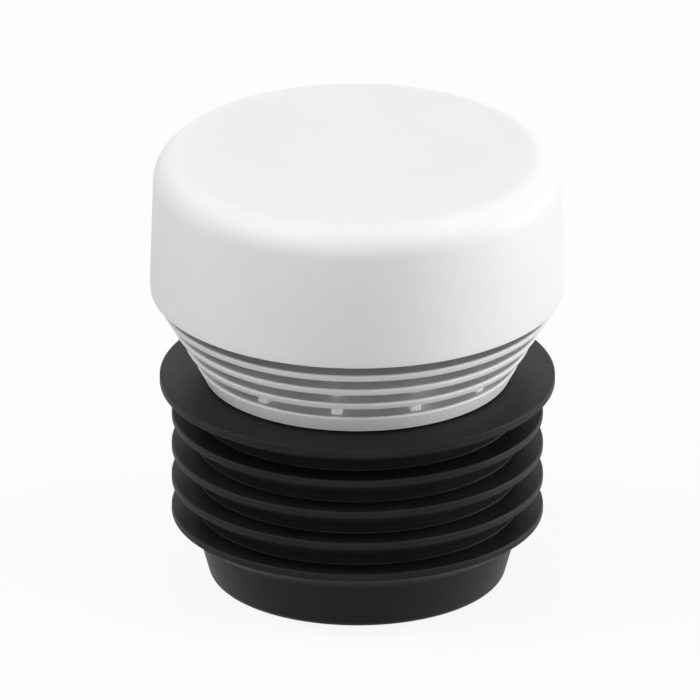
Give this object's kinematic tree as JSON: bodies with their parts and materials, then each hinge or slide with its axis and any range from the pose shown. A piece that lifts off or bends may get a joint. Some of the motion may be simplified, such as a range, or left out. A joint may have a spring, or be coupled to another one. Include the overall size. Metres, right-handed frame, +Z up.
{
  "type": "air admittance valve",
  "caption": "Drain air admittance valve: white domed cap over a conical louvred intake cage, a gravity-closed membrane disc inside and a black finned rubber sleeve that fits in or over a pipe.",
  "frame": {"origin": "centre of the sleeve's lower end, on the valve's axis", "axes": "+Z up along the valve's axis from the pipe to the cap; X and Y across, with a cage rib on +X"},
  "size_m": [0.0726, 0.0726, 0.0791],
  "materials": {
    "white_plastic": "satin",
    "sleeve_rubber": "satin",
    "seal_rubber": "matte",
    "membrane_rubber": "matte",
    "carrier_plastic": "matte",
    "screen_plastic": "matte"
  },
  "bodies": {
    "housing": {"cap": "white_plastic", "cap_seal_ring": "seal_rubber", "valve_body": "white_plastic", "insect_screen": "screen_plastic", "rubber_sleeve": "sleeve_rubber"},
    "valve_disc": {"membrane": "membrane_rubber", "membrane_carrier": "carrier_plastic"}
  },
  "joints": [
    {"name": "valve_lift", "type": "slide", "parent": "housing", "child": "valve_disc", "axis": [0, 0, 1], "range_m": [0, 0.0045]}
  ]
}
